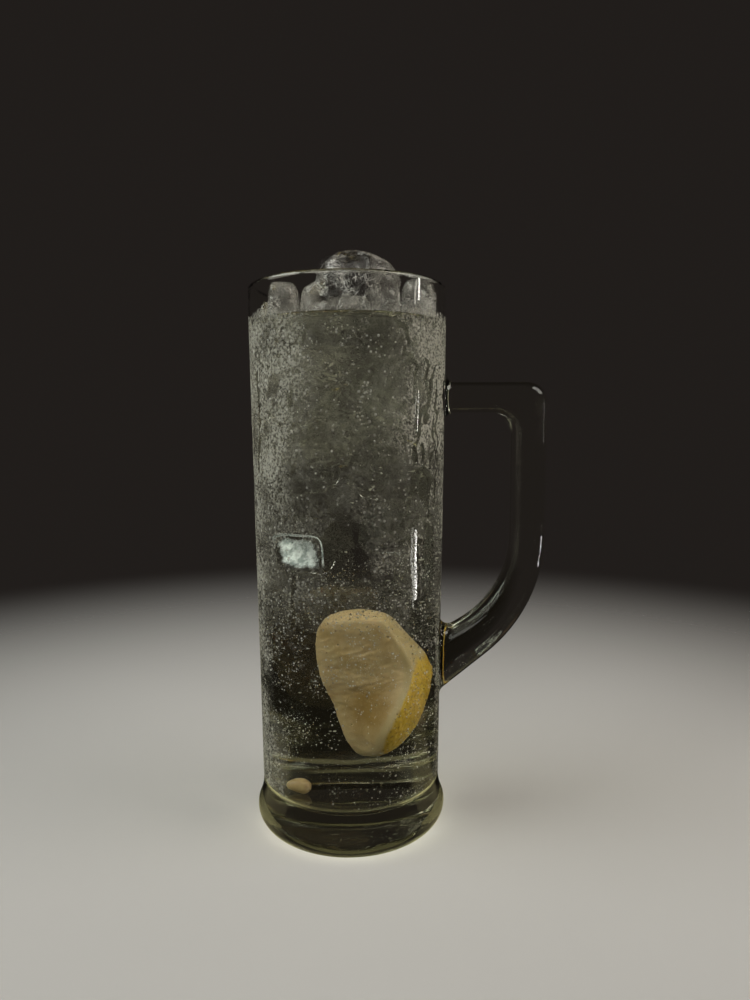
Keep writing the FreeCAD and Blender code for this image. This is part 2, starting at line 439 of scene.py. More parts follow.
# Lamp: place, target, width, height, power, colour
LAMPS = {
    "left_soft": ((-0.72, -0.12, 0.80), (0, 0, 0.12), 0.62, 0.62, 5.4, COOL_LIGHT),
    "right_soft": ((0.70, -0.20, 0.82), (0, 0, 0.12), 0.56, 0.56, 3.8, WARM_LIGHT),
    "front_soft": ((-0.25, -0.80, 0.95), (0, 0, 0.10), 0.66, 0.66, 2.0, SOFT_LIGHT),
    "strip_high": ((0.56, -0.045, 0.300), (0, 0, 0.20), 0.026, 0.034, 0.050, SOFT_LIGHT),
    "strip_middle": ((0.56, -0.045, 0.166), (0, 0, 0.15), 0.012, 0.046, 0.026, SOFT_LIGHT),
    "strip_low": ((0.30, -0.040, 0.052), (0, 0, 0.09), 0.022, 0.050, 0.060, (1.0, 0.98, 0.95)),
}
lamps = {name: soft_light(name, *values) for name, values in LAMPS.items()}
lamps["front_soft"].visible_transmission = False

# ---------------------------------------------------------------- glass

glass, tree, solid, place = clear_material("pressed_glass", 1.5, (0.97, 0.98, 0.95), shadow=0.95,
                                           absorb=(0.62, 0.62, 0.30), density=9.0)
swell = noise(tree, place, 60.0, 1.0)
tree.links.new(bump(tree, swell, 0.12, 0.002), solid.inputs["Normal"])
for material_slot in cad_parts["mug"].material_slots:
    material_slot.material = glass

# ---------------------------------------------------------------- drink

MENISCUS_HEIGHT = 1.7
MENISCUS_REACH = 1.6
DRINK_SEGMENTS = 160
FLAT_ROWS, CORNER_ROWS, SIDE_ROWS = 12, 14, 60
EDGE_WIDTH = 6
EDGE_ROWS, SURFACE_ROWS = 14, 24


def cavity_profile(over):
    """Inside of the mug, moved out by a distance: flat floor, quarter-round corner and straight wall."""
    corner_height = INNER_FLOOR_HEIGHT + INNER_CORNER_RADIUS
    centre = inner_radius(corner_height) - INNER_CORNER_RADIUS
    flat = np.stack([np.linspace(0, centre, FLAT_ROWS), np.full(FLAT_ROWS, INNER_FLOOR_HEIGHT - over)], -1)
    turn = np.linspace(-np.pi / 2, 0, CORNER_ROWS)[1:]
    corner = np.stack([centre + (INNER_CORNER_RADIUS + over) * np.cos(turn),
                       corner_height + (INNER_CORNER_RADIUS + over) * np.sin(turn)], -1)
    heights = np.linspace(corner_height, DRINK_LEVEL, SIDE_ROWS)[1:]
    side = np.stack([inner_radius(heights) + over, heights], -1)
    return np.concatenate([flat, corner, side])


def drink_profile():
    """Inside of the mug up to the level, with a meniscus that falls off as exp(-distance / reach)."""
    side = cavity_profile(WALL_OVERLAP)
    edge = side[-1, 0]
    from_wall = np.concatenate([np.linspace(0, EDGE_WIDTH, EDGE_ROWS),
                                np.linspace(EDGE_WIDTH, edge, SURFACE_ROWS)[1:]])
    climb = MENISCUS_HEIGHT * np.exp(-from_wall / MENISCUS_REACH)
    surface = np.stack([edge - from_wall, DRINK_LEVEL + climb], -1)
    return np.concatenate([side, surface])


WATER_IOR = 1.333
AIR_IN_WATER_IOR = 0.75
drink_material = clear_material("drink", WATER_IOR, (1, 1, 1), shadow=0.98,
                                absorb=(0.66, 0.63, 0.40), density=3.0)[0]
profile = drink_profile()
drink = new_piece("sparkling_drink", lathe_points(profile, DRINK_SEGMENTS),
                  *shell_faces(len(profile) - 2, DRINK_SEGMENTS), drink_material, "drink")
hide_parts("drink")

# ---------------------------------------------------------------- ice

LUMP_RINGS, LUMP_SEGMENTS = 90, 150
SLIVER_RINGS, SLIVER_SEGMENTS = 30, 48
SUNK_RINGS, SUNK_SEGMENTS = 50, 80


def lump_points(centre, half, below, ball, power, tilt, rough, seed, rings, segments):
    """Half-melted lump: in each direction its reach is the power mean of a ball's and a block's, then waved.

    The block is half[0] by half[1] to the sides, half[2] above and below under the centre. The tilt turns
    the lump about the Y axis, in degrees, and rough is the height of its waves.
    """
    way = ball_directions(rings, segments)
    block = np.stack([
        np.abs(way[:, 0]) / half[0],
        np.abs(way[:, 1]) / half[1],
        np.where(way[:, 2] > 0, way[:, 2] / half[2], -way[:, 2] / below),
    ], -1)
    reach = ((block ** power).sum(1) + (1 / ball) ** power) ** (-1 / power)
    spots = way * reach[:, None]
    dents = waves(spots, 14.0, seed) * rough + waves(spots, 5.0, seed + 1) * rough * 0.35
    spots = spots * (1 + (np.minimum(dents, 0.3 * rough) / reach)[:, None])
    return turned_about_y(spots, tilt) + np.array(centre)


def melted_group():
    """Group for the soft dents of melting ice: noise of the place, as a bent normal."""
    group, given, result = new_group("melted_surface", ["Strength"], "Normal", "NodeSocketVector")
    melt = noise(group, given["Place"], 130.0, 3.0, 0.55)
    group.links.new(bump(group, melt, given["Strength"], 0.002), result)
    return group


def frost_group():
    """Group for haze of trapped air: coarse and fine noise added, and seen only where the sum is high."""
    group, given, result = new_group("frost_haze", ["Scale", "Low", "High", "Most"], "Haze")
    cloud = noise(group, given["Place"], given["Scale"], 5.0, 0.62, 0.4)
    fine = noise(group, given["Place"], product(group, given["Scale"], 7.0), 3.0, 0.6)
    both = maths(group, "ADD", product(group, cloud, 0.72), product(group, fine, 0.28))
    group.links.new(between(group, both, given["Low"], given["High"], 0.0, given["Most"]), result)
    return group


def crack_group():
    """Group for veins of a crack: lines where a noise crosses its middle value, in patches, on a veil."""
    group, given, result = new_group("crack_veins", ["Scale", "Width", "Most"], "Veins")
    place, scale = given["Place"], given["Scale"]
    ridge = maths(group, "ABSOLUTE", maths(group, "SUBTRACT", noise(group, place, scale, 4.0, 0.6, 1.2), 0.5))
    patch = between(group, noise(group, place, product(group, scale, 0.3), 2.0), 0.46, 0.56)
    vein = product(group, between(group, ridge, 0.0, given["Width"], given["Most"], 0.0), patch)
    veil = between(group, noise(group, place, product(group, scale, 0.5), 3.0), 0.45, 0.75, 0.0, 0.06)
    group.links.new(maths(group, "MAXIMUM", vein, veil), result)
    return group


MELTED = melted_group()
FROST = frost_group()
CRACKS = crack_group()


def ice_material(name, ior, tint, roughness, dents):
    """Clear ice with a melted surface."""
    material, tree, solid, place = clear_material(name, ior, tint, roughness, shadow=0.93)
    tree.links.new(use_group(tree, MELTED, place, {"Strength": dents}), solid.inputs["Normal"])
    return material


def frost_material(name, colour, numbers):
    """Matt white haze inside ice."""
    material, tree, output, place = new_material(name)
    coat(tree, output, {"Base Color": (*colour, 1), "Roughness": 0.6, "Specular IOR Level": 0.2,
                        "Alpha": use_group(tree, FROST, place, numbers)})
    return material


def crack_material(name, colour, numbers):
    """White veins inside ice."""
    material, tree, output, place = new_material(name)
    coat(tree, output, {"Base Color": (*colour, 1), "Roughness": 0.35,
                        "Alpha": use_group(tree, CRACKS, place, numbers)})
    return material


def skin_frost_material():
    """Frost just under a lump's surface, as strong as the mesh's own white number and broken by noise."""
    material, tree, output, place = new_material("ice_skin_frost")
    cloud = noise(tree, place, 320.0, 5.0, 0.65, 0.6)
    tone = noise(tree, place, 60.0, 2.0)
    amount = product(tree, attribute(tree, "white"), between(tree, cloud, 0.30, 0.70, 0.35, 1.0), 0.72)
    coat(tree, output, {
        "Base Color": mixed(tree, tone, (0.52, 0.45, 0.40, 1), (0.50, 0.50, 0.44, 1)),
        "Roughness": 0.4, "Alpha": amount, "Normal": bump(tree, cloud, 0.6, 0.001),
    })
    return material


# In the drink ice hardly bends light, so sunk ice has an index close to 1
standing_ice = ice_material("standing_ice", 1.31, (0.985, 0.99, 0.985), 0.06, 0.5)
sunk_ice = ice_material("sunk_ice", 1.06, (0.99, 0.995, 0.99), 0.0, 0.35)
skin_frost = skin_frost_material()
core_frost = frost_material("ice_frost", (0.34, 0.32, 0.29),
                            {"Scale": 100.0, "Low": 0.44, "High": 0.74, "Most": 0.45})
sunk_frost = frost_material("sunk_frost", (0.40, 0.39, 0.34),
                            {"Scale": 120.0, "Low": 0.46, "High": 0.80, "Most": 0.16})
cracks = crack_material("ice_cracks", (0.82, 0.80, 0.75), {"Scale": 340.0, "Width": 0.034, "Most": 0.85})
sunk_cracks = crack_material("sunk_cracks", (0.55, 0.54, 0.50), {"Scale": 200.0, "Width": 0.03, "Most": 0.10})

# Lump: centre, half sizes across X and Y and upwards, reach below, ball's radius, power, tilt, waves, seed
STANDING = {
    "ice_top": ((0.9, -1.0, 199.2), (18.6, 16.9, 60.0), 14.4, 23.4, 9.0, 4.0, 0.45, 11),
    "ice_left": ((-24.3, 0.0, 197.9), (5.5, 12.2, 12.4), 12.9, 60.0, 4.5, 3.0, 0.30, 21),
    "ice_right": ((27.0, 0.0, 199.4), (6.7, 10.4, 12.3), 12.3, 60.0, 4.0, 0.0, 0.30, 31),
    "ice_back": ((0.0, 23.4, 196.0), (13.6, 6.6, 12.4), 12.4, 60.0, 3.4, 0.0, 0.35, 41),
}
SKIN_DEPTH = 0.9


def top_shoulders(points):
    """Large lump drawn to the right above the rim: a soft step in height, more at its left side."""
    above = smooth_step(206.5, 210.5, points[:, 2])
    return above * (1.0 + 3.2 * smooth_step(2, -14, points[:, 0]))


def top_whiteness(inner, streak, seed):
    """Large lump: white down its left and right sides, clear in the middle, faintly white on the crown."""
    side, up = inner[:, 0], inner[:, 2]
    white = -0.10 + 0.62 * smooth_step(-9.0, -12.0, side) * smooth_step(212, 207, up)
    white += 0.50 * smooth_step(7.0, 10.0, side) + 0.14 * streak + 0.12 * waves(inner, 8.0, seed + 5)
    return white + 0.10 * smooth_step(217, 221, up)


def make_standing_lump(name, centre, half, below, ball, power, tilt, rough, seed):
    """Lump that stands out of the drink, with one ice above the level and another below, and its skin."""
    points = lump_points(centre, half, below, ball, power, tilt, rough, seed, LUMP_RINGS, LUMP_SEGMENTS)
    large = name == "ice_top"
    if large:
        points[:, 0] += top_shoulders(points)
    quads, triangles = shell_faces(LUMP_RINGS, LUMP_SEGMENTS)
    lump = new_piece("melting_" + name, points, quads, triangles, standing_ice, "ice")
    lump.data.materials.append(sunk_ice)
    face_height = np.concatenate([points[quads, 2].mean(1), points[triangles, 2].mean(1)])
    lump.data.polygons.foreach_set("material_index", (face_height < DRINK_LEVEL).astype(np.int32))
    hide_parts(name)
    from_middle = points - np.array(centre)
    reach = np.linalg.norm(from_middle, axis=1)[:, None]
    inner = np.array(centre) + from_middle * (1 - SKIN_DEPTH / reach)
    streak = waves(inner * np.array([1, 1, 0.4]), 5.0, seed + 3)
    if large:
        white = top_whiteness(inner, streak, seed)
    else:
        white = 0.42 + 0.30 * waves(inner, 8.0, seed + 4) + 0.15 * streak
    white *= smooth_step(DRINK_LEVEL + 0.5, DRINK_LEVEL + 4.0, inner[:, 2])
    new_piece("frosted_skin_" + name, inner, quads, triangles, skin_frost, "ice",
              {"white": np.clip(white, 0, 1)})


for name, values in STANDING.items():
    make_standing_lump(name, *values)
# Sliver of ice that floats against the wall at the left
sliver = lump_points((-31.4, -2.0, 198.0), (2.1, 5.5, 5.6), 6.5, 12.0, 3.0, 10.0, 0.35, 51,
                     SLIVER_RINGS, SLIVER_SEGMENTS)
new_piece("ice_sliver", sliver, *shell_faces(SLIVER_RINGS, SLIVER_SEGMENTS), standing_ice, "ice")

SHEET = 40
CORE_RINGS, CORE_SEGMENTS = 30, 48
crack_random = np.random.default_rng(5)


def sheet_grid():
    """Grid rounded to a disc: each way from -1 to 1, times the root of 1 less half the other's square."""
    across, along = np.meshgrid(np.linspace(-1, 1, SHEET), np.linspace(-1, 1, SHEET), indexing="ij")
    disc = np.stack([across * np.sqrt(1 - along ** 2 / 2), along * np.sqrt(1 - across ** 2 / 2)], -1)
    cell = np.arange((SHEET - 1) * SHEET).reshape(SHEET - 1, SHEET)[:, :-1].ravel()
    return disc.reshape(-1, 2), np.stack([cell, cell + SHEET, cell + SHEET + 1, cell + 1], -1)


def crack_sheets(name, lumps, material):
    """Wavy discs through lumps: each is bent by waves, set off centre and turned at random.

    Each lump is a centre, a radius and a number of discs.
    """
    disc, quads_of_disc = sheet_grid()
    points, quads = [], []
    for k, (centre, radius, count) in enumerate(lumps):
        for i in range(count):
            axes = np.linalg.qr(crack_random.normal(size=(3, 3)))[0]
            offset = crack_random.uniform(-0.55, 0.55)
            spot = np.pad(disc, ((0, 0), (0, 1))) + 7.0 * (k + 3 * i)
            bend = 0.22 * waves(spot, 1.6, 50 + i + 10 * k)
            flat = np.column_stack([disc * 0.9 * math.sqrt(1 - offset ** 2), bend + offset])
            points.append(np.array(centre) + flat @ axes * radius)
            quads.append(quads_of_disc + SHEET * SHEET * len(quads))
    new_piece(name, np.concatenate(points), np.concatenate(quads), NO_TRIANGLES, material, "ice")


def frost_cores(name, cores, material):
    """Hazy cores inside lumps: balls stretched to their sizes and waved. Each core is a centre and sizes."""
    points, quads, triangles = [], [], []
    way = ball_directions(CORE_RINGS, CORE_SEGMENTS)
    for k, (centre, sizes) in enumerate(cores):
        wave = 1 + 0.18 * waves(way, 1.2, 70 + k)
        points.append(np.array(centre) + way * np.array(sizes) * wave[:, None])
        faces = shell_faces(CORE_RINGS, CORE_SEGMENTS)
        quads.append(faces[0] + len(way) * k)
        triangles.append(faces[1] + len(way) * k)
    new_piece(name, np.concatenate(points), np.concatenate(quads), np.concatenate(triangles), material, "ice")


crack_sheets("ice_crack_sheets", [
    ((1.5, -3.0, 206.0), 13.5, 4), ((-24.4, -2.0, 200.5), 5.5, 3), ((26.9, -5.0, 201.5), 6.5, 14),
    ((-5.0, -6.0, 214.0), 7.0, 2), ((-31.6, -2.0, 198.5), 2.6, 3),
], cracks)
frost_cores("ice_frost_cores", [
    ((-24.4, 0.0, 201.0), (4.0, 8.5, 5.5)), ((26.3, 0.0, 202.0), (3.6, 8.0, 6.0)),
], core_frost)

# Sunk ice: centre, half sizes, tilt, seed
SUNK = [
    ((-14.0, -8.0, 172.0), (13.5, 12.5, 14.0), 14.0, 201),
    ((13.0, -6.0, 170.0), (12.0, 13.0, 13.0), -20.0, 202),
    ((2.0, 15.0, 160.0), (14.0, 11.5, 14.0), 8.0, 203),
    ((-15.0, -4.0, 143.0), (12.5, 13.0, 12.5), -12.0, 204),
    ((12.0, -9.0, 141.0), (12.5, 12.0, 13.0), 25.0, 205),
    ((14.0, 8.0, 117.0), (12.0, 12.5, 10.5), 10.0, 206),
    ((-15.0, -8.0, 113.0), (12.0, 12.0, 11.0), 6.0, 207),
    ((-6.0, 14.0, 130.0), (12.0, 11.0, 12.0), -8.0, 208),
]
SUNK_BALL = 18.0
SUNK_POWER = 4.0
SUNK_WAVES = 0.5
FROSTED_ABOVE = 125
CORE_SHARE = 0.62
for k, (centre, half, tilt, seed) in enumerate(SUNK):
    points = lump_points(centre, half, half[2], SUNK_BALL, SUNK_POWER, tilt, SUNK_WAVES, seed,
                         SUNK_RINGS, SUNK_SEGMENTS)
    new_piece(f"sunk_ice_{k + 1}", points, *shell_faces(SUNK_RINGS, SUNK_SEGMENTS), sunk_ice, "ice")
high_lumps = [(centre, half) for centre, half, tilt, seed in SUNK if centre[2] > FROSTED_ABOVE]
frost_cores("sunk_frost_cores", [(c, CORE_SHARE * np.array(half)) for c, half in high_lumps], sunk_frost)
crack_sheets("sunk_crack_sheets", [(centre, 9.0, 2) for centre, half in high_lumps], sunk_cracks)

# Pane low at the left in the sunk ice, which carries a painted window glint
FACET_RINGS, FACET_SEGMENTS = 30, 60
FACET_MIDDLE = np.array([-16.4, -17.5, 111.0])
FACET_HALF_WIDTH = 9.4
FACET_HALF_HEIGHT = 8.2
FACET_HALF_DEPTH = 0.8
FACET_FACING = np.array([-0.45, -0.70, 0.55])


def painted_glint_material():
    """Painted glint on a facet: a window's glint painted as mottled bright cool white inside a ragged rim,
    brightest towards its lower left, with a painted highlight line along its top and right.
    """
    material, tree, output, place = new_material("painted_glint_facet")
    mottle = noise(tree, place, 300.0, 4.0, 0.65)
    ragged = shift(tree, noise(tree, place, 330.0, 5.0, 0.7), 1.15)
    rim = attribute(tree, "rim")
    inside = falling(tree, maths(tree, "ADD", rim, ragged), 0.66, 1.04)
    # Painted glint brightness: highest towards the lower left, broken by ragged noise
    shine = between(tree, maths(tree, "ADD", attribute(tree, "shine"), ragged), -0.6, 0.45, 0.35, 1.0)
    # Painted highlight line along the top and right, just outside the rim
    painted_highlight_line = product(tree, rising(tree, rim, 1.20, 1.24), falling(tree, rim, 1.27, 1.31),
                   attribute(tree, "top_edge"), 0.5)
    tone = between(tree, mottle, 0.38, 0.62)
    coat(tree, output, {
        "Base Color": mixed(tree, tone, (0.30, 0.36, 0.34, 1), (0.92, 1.0, 0.97, 1)),
        "Roughness": 0.25, "IOR": 1.7, "Normal": bump(tree, mottle, 0.8, 0.0012),
        "Alpha": maths(tree, "MAXIMUM", product(tree, inside, shine), painted_highlight_line),
    })
    return material


def make_painted_glint():
    """Bent pane that carries the painted glint: a ball squared by the fourth-power mean, flattened along its
    facing and bent by waves.
    """
    facing = FACET_FACING / np.linalg.norm(FACET_FACING)
    level_way = np.cross((0, 0, 1), facing)
    level_way /= np.linalg.norm(level_way)
    rise_way = np.array([0, facing[2], -facing[1]]) / np.hypot(facing[1], facing[2])
    way = ball_directions(FACET_RINGS, FACET_SEGMENTS)
    spots = way * ((way ** 4).sum(1) ** -0.25)[:, None]
    depth = spots[:, 2] * FACET_HALF_DEPTH + 0.6 * waves(spots, 2.2, 231)
    points = (FACET_MIDDLE + spots[:, :1] * FACET_HALF_WIDTH * level_way
              + spots[:, 1:2] * FACET_HALF_HEIGHT * rise_way + depth[:, None] * facing)
    new_piece("painted_glint_facet", points, *shell_faces(FACET_RINGS, FACET_SEGMENTS), painted_glint_material(), "ice", {
        "rim": 1.32 * (np.abs(spots[:, :2]) ** 5).sum(1) ** 0.2,
        "top_edge": smooth_step(-0.2, 0.3, spots[:, 1] + 0.5 * spots[:, 0]),
        "shine": -0.7 * spots[:, 0] - 0.5 * spots[:, 1],
    })


make_painted_glint()

# ---------------------------------------------------------------- lemon

LEMON_RADIUS = 27.6
LEMON_HALF_LENGTH = 37.0
LEMON_FACES = (-24.0, 56.0)
LEMON_LEAN = -17.0
LEMON_MIDDLE = np.array([-4.4, -1.5, 62.9])
# Bulge of the two cut faces: how far, the height of its middle, and its reach along and out from the core
LEMON_BULGE, BULGE_MIDDLE, BULGE_ALONG, BULGE_OUT = 4.4, -7, 31, 24
# What the low end of the wedge does: moves to the left, turns its first face, and swells its rind
LOW_SHIFT, LOW_TURN, LOW_SWELL = 3.4, 30, 2.6
# Flat sides: their outward way in the wedge's own axes, and their distance from its core's middle
LEMON_TOP = (np.array([0.291, 0, 0.957]), 22.1)
LEMON_CORNER = (np.array([-0.6 * math.cos(0.17), -0.6 * math.sin(0.17), 0.8]), 0.8 * 18.6)
LEMON_END = (np.array([0, 0, -1]), 35.4)
EGG_TO_MILLIMETRES = 29.0
SLOPE_SIDE, EGG_SIDE = 5, 6
LEMON_RINGS, LEMON_SEGMENTS = 230, 340
SOFT_EDGE = 1.1
RAY_REACH = 60.0
HALVINGS = 26


def lemon_terms(spots):
    """Distances past the wedge's sides, in its own axes, whose Z runs along its core.

    In order: two bulging cut faces, top, corner, end, a sloping cone, and the rind's egg.
    """
    low = smooth_step(-8, -32, spots[:, 2])
    spots = spots + np.stack([LOW_SHIFT * low, 0 * low, 0 * low], -1)
    across, out, up = spots.T
    first = np.radians(LEMON_FACES[0] - LOW_TURN * smooth_step(-2, -26, up))
    last = math.radians(LEMON_FACES[1])
    radius = np.hypot(across, out)
    bulge = LEMON_BULGE * np.maximum(0, 1 - ((up - BULGE_MIDDLE) / BULGE_ALONG) ** 2)
    bulge *= np.maximum(0, 1 - (radius / BULGE_OUT) ** 2)
    egg = np.hypot((radius - LOW_SWELL * low) / LEMON_RADIUS, up / LEMON_HALF_LENGTH)
    flats = [spots @ way - distance for way, distance in (LEMON_TOP, LEMON_CORNER, LEMON_END)]
    return np.stack([
        across * np.sin(first) - out * np.cos(first) - bulge,
        -across * math.sin(last) + out * math.cos(last) - bulge,
        *flats,
        0.969 * radius + 0.248 * up - 25.3,
        (egg - 1) * EGG_TO_MILLIMETRES,
    ], -1)


def make_lemon_wedge(material):
    """Wedge found by halving along rays from its middle, where the soft greatest distance is nought."""
    way = ball_directions(LEMON_RINGS, LEMON_SEGMENTS)
    middle = np.array([10.5 * math.cos(math.radians(10)), 10.5 * math.sin(math.radians(10)), -3.0])
    near = np.zeros(len(way))
    far = np.full(len(way), RAY_REACH)
    for _ in range(HALVINGS):
        half = (near + far) / 2
        sides = lemon_terms(middle + way * half[:, None])
        side = SOFT_EDGE * np.log(np.exp(sides / SOFT_EDGE).sum(1))
        near = np.where(side < 0, half, near)
        far = np.where(side < 0, far, half)
    spots = middle + way * near[:, None]
    sides = lemon_terms(spots)
    depth = -sides[:, EGG_SIDE]
    flesh = smooth_step(3.4, 5.0, depth)
    on_rind = smooth_step(0.9, 0.3, depth)
    radius = np.hypot(spots[:, 0], spots[:, 1])
    grain = waves(np.stack([radius * 0.35, spots[:, 1], spots[:, 2]], -1), 3.0, 301)
    frayed = waves(spots, 2.2, 302)
    ridge = waves(spots, 9.0, 303)
    dip = flesh * (0.07 * grain + 0.06 * frayed + 0.26 * ridge - 0.3)
    dip += on_rind * (0.12 * waves(spots, 2.0, 304) - 0.1)
    points = turned_about_y(spots + way * dip[:, None], LEMON_LEAN) + LEMON_MIDDLE
    # Rind depth, and the sloping face that the material darkens as painted shade
    lemon = new_piece("lemon_wedge_in_drink", points, *shell_faces(LEMON_RINGS, LEMON_SEGMENTS), material,
                      "lemon", {"rind_depth": depth, "slope": smooth_step(-1.6, -0.2, sides[:, SLOPE_SIDE])})
    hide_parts("lemon_wedge")
    return points


def pith_and_flesh(tree, place, deep, pulp):
    """Colour inside the rind: pith, then mottled flesh, with a painted shadow on the pulp round one spot and
    painted shade on the sloping face.
    """
    patches = noise(tree, place, 75.0, 2.0)
    flesh = mixed(tree, between(tree, patches, 0.45, 0.70), (0.49, 0.365, 0.185, 1), (0.43, 0.305, 0.130, 1))
    flesh = mixed(tree, between(tree, pulp, 0.35, 0.75), flesh, (0.52, 0.395, 0.210, 1))
    # Painted shadow: darker flesh round one spot on the pulp, its edge broken by noise
    painted_pulp_shadow = distance_from(tree, place, (0.0062, -0.013, 0.050))
    painted_pulp_shadow = maths(tree, "ADD", painted_pulp_shadow, shift(tree, patches, 0.02))
    painted_pulp_shadow = between(tree, painted_pulp_shadow, 0.004, 0.016, 0.95, 0.0)
    flesh = mixed(tree, painted_pulp_shadow, flesh, (0.27, 0.165, 0.042, 1))
    # Painted shade: the sloping face, which the lamps light more, darkened
    flesh = mixed(tree, attribute(tree, "slope"), flesh, (0.30, 0.222, 0.102, 1))
    return mixed(tree, between(tree, deep, 3.2, 5.0), (0.40, 0.310, 0.150, 1), flesh)


def lemon_wedge_material():
    """Porous peel, then pith and flesh, by the depth in millimetres under the rind, made uneven by noise."""
    material, tree, output, place = new_material("lemon")
    wobble = shift(tree, noise(tree, place, 260.0, 3.0), 1.6)
    deep = maths(tree, "ADD", attribute(tree, "rind_depth"), wobble)
    drawn_out = node(tree, "Mapping", None, {"Vector": place, "Scale": (1, 1, 0.45)}).outputs[0]
    pulp = noise(tree, drawn_out, 420.0, 4.0, 0.6)
    pores = node(tree, "TexVoronoi", None, {"Vector": place, "Scale": 620.0}).outputs["Distance"]
    peel = mixed(tree, between(tree, pores, 0.1, 0.5), (0.30, 0.185, 0.012, 1), (0.50, 0.325, 0.035, 1))
    inside = pith_and_flesh(tree, place, deep, pulp)
    height = maths(tree, "ADD", product(tree, pulp, 0.6), product(tree, pores, 0.4))
    coat(tree, output, {
        "Base Color": mixed(tree, between(tree, deep, 0.5, 1.5), peel, inside),
        "Roughness": 0.42, "IOR": 1.36, "Subsurface Weight": 0.25, "Subsurface Radius": (1.0, 0.7, 0.3),
        "Subsurface Scale": 0.003, "Normal": bump(tree, height, 0.22, 0.0005),
    })
    return material


lemon_points = make_lemon_wedge(lemon_wedge_material())

PIP_RINGS, PIP_SEGMENTS = 24, 36
PIP_PLACE = np.array([-15.9, -4.0, INNER_FLOOR_HEIGHT + 3.6])
PIP_HALF = np.array([4.0, 3.3, 3.4])
PIP_TURN = 12


def pip_material():
    """Streaky pale brown skin."""
    material, tree, output, place = new_material("pip")
    streak = noise(tree, place, 500.0, 3.0)
    coat(tree, output, {
        "Base Color": mixed(tree, streak, (0.30, 0.19, 0.085, 1), (0.52, 0.41, 0.20, 1)),
        "Roughness": 0.3, "Normal": bump(tree, streak, 0.3, 0.0004),
    })
    return material


def make_pip():
    """Pip that lies on the floor of the glass: a stretched ball, tapered towards its left end."""
    way = ball_directions(PIP_RINGS, PIP_SEGMENTS)
    taper = 1 - 0.30 * smooth_step(-1.0, 1.0, -way[:, 0])
    pip = way * PIP_HALF * np.stack([np.ones_like(taper), taper, taper], -1)
    cos, sin = math.cos(math.radians(PIP_TURN)), math.sin(math.radians(PIP_TURN))
    turned = np.stack([pip[:, 0] * cos - pip[:, 1] * sin, pip[:, 0] * sin + pip[:, 1] * cos, pip[:, 2]], -1)
    new_piece("lemon_pip", turned + PIP_PLACE, *shell_faces(PIP_RINGS, PIP_SEGMENTS), pip_material(), "lemon")


make_pip()

# ---------------------------------------------------------------- mist, drops and bubbles

# Tracks that drops have run down in the mist: angle from the front towards the handle, and height
TRACKS = [
    [(30, 182), (36, 181), (39, 177), (39.5, 166), (41, 152), (39, 144)],
    [(56, 177), (52, 171), (51, 164), (44, 162), (42, 154)],
    [(27, 192), (33, 190), (35, 185)],
    [(55, 160), (57, 149), (52, 141), (51, 130), (53, 118), (50, 104)],
    [(46, 150), (45, 141), (48, 131)],
    [(48, 180), (49, 168), (47, 158)],
    [(59, 172), (61, 152), (58, 128)],
    [(43, 116), (43, 98), (41, 90), (44, 80)],
    [(-62, 176), (-60, 160), (-63, 141)],
    [(-38, 118), (-33, 104), (-35, 86)],
]
# Spots on the wall: angle, height, half width in degrees, half height
CLEAR_PATCH = (-4, 115, 13.5, 10.5)
SMEAR = (-60, 33, 20, 22)
BY_PIP = (-30, 24, 16, 12)
# Cleared places in the mist, each a spot and its strength
CLEARED = [
    (*CLEAR_PATCH, 1.0), (1, 172, 6, 3.0, 0.7), (46, 137, 9, 7.0, 0.75), (-30, 113, 15, 6.0, 0.8),
    (52, 112, 8, 14.0, 0.8), (5, 186, 9, 5.0, 0.35), (178, 103, 18, 10.0, 0.9),
]
# Whiter clouds in the mist, each a spot and its strength
CLOUDS = [
    (3, 138, 9, 7, 0.10), (8, 129, 8, 6, 0.10), (-30, 170, 12, 14, 0.12), (25, 160, 8, 20, 0.06),
    (-25, 100, 16, 4, 0.08), (19, 108.5, 6, 5, 0.30),
]
# Dry spots round the handle's roots
HANDLE_ROOTS = [(90, 167.8, 19, 10.5), (90, 73.5, 19, 17.0)]
OUTSIDE_MEAN_RADIUS = 36
INSIDE_MEAN_RADIUS = 33
MILLIMETRES_PER_DEGREE = 0.64
FILM_FRONT = 252
FILM_BACK = 80
FILM_COLUMNS = FILM_FRONT + FILM_BACK
FILM_ROWS = 280
FILM_TOP = 198.6
FILM_BOTTOM = 20.0
FILM_GAP = 0.08
FRONT_ANGLE = 82


def off_spot(angle, height, middle_angle, middle_height, wide, tall):
    """Distance from a spot on the wall, as a share of its half width and half height."""
    return np.hypot((angle - middle_angle) / wide, (height - middle_height) / tall)


def on_straight_wall(angle, height, radius=OUTSIDE_MEAN_RADIUS):
    """Points at an angle and a height on an upright wall, for the noise to be sampled at."""
    turn = np.radians(angle)
    return np.stack([np.cos(turn) * radius, np.sin(turn) * radius, height], -1)


def clear_patch(angle, height):
    """0 in the clear patch low on the front, 1 outside it."""
    return smooth_step(0.85, 1.1, off_spot(angle, height, *CLEAR_PATCH))


def smeared(angle, height):
    """Distance from the misty smear low at the left, as a share of its half sizes."""
    return off_spot(angle, height, *SMEAR)


def track_gap(angle, height):
    """Distance in millimetres to the nearest run of a track, on the unrolled wall and bent by noise."""
    wobble = 0.7 * waves(on_straight_wall(angle, height), 7.0, 404)
    nearest = np.full(angle.shape, 99.0)
    for track in TRACKS:
        bends = np.array(track, float) * (MILLIMETRES_PER_DEGREE, 1)
        for start, end in zip(bends[:-1], bends[1:]):
            run = end - start
            off = np.stack([angle * MILLIMETRES_PER_DEGREE + wobble, height], -1) - start
            share_along = np.clip(off @ run / (run @ run), 0, 1)
            gap = np.linalg.norm(off - share_along[..., None] * run, axis=-1)
            nearest = np.minimum(nearest, gap)
    return nearest


